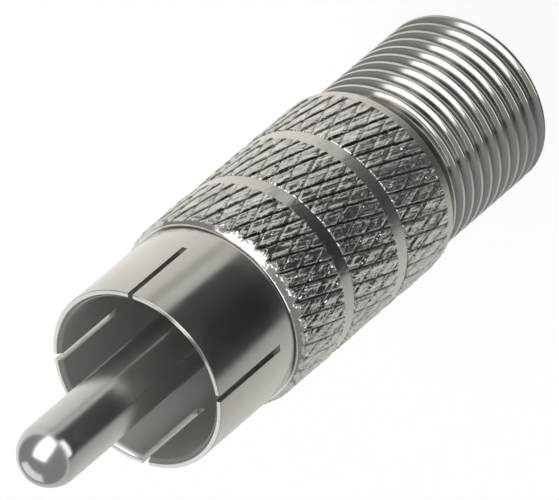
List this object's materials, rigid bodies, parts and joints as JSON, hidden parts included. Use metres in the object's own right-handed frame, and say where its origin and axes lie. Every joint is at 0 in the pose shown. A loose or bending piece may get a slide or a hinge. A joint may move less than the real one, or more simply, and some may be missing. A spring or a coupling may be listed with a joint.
{
  "type": "rca to f-type adapter",
  "caption": "Straight metal adapter: split-shell phono plug with ball-nosed pin, diamond-knurled grip with plain grooves, threaded F socket.",
  "frame": {"origin": "centre of the F socket's end face, on which the adapter stands", "axes": "+Z along the adapter's axis from the F socket to the tip of the plug's pin; the shell's slots lie between X and Y"},
  "size_m": [0.0102, 0.0102, 0.0369],
  "materials": {
    "nickel_plate": "bright nickel plate on turned brass",
    "pin_plate": "bright nickel plate, polished",
    "contact_bronze": "plain spring bronze",
    "natural_insulator": "natural white polymer, moulded",
    "dark_insulator": "black polymer, moulded"
  },
  "bodies": {
    "root": {"f_barrel": "nickel_plate", "knurled_body": "nickel_plate", "plug_pin": "pin_plate", "plug_insulator": "dark_insulator", "f_contact": "contact_bronze", "f_insulator": "natural_insulator", "core_insulator": "natural_insulator"}
  },
  "joints": []
}
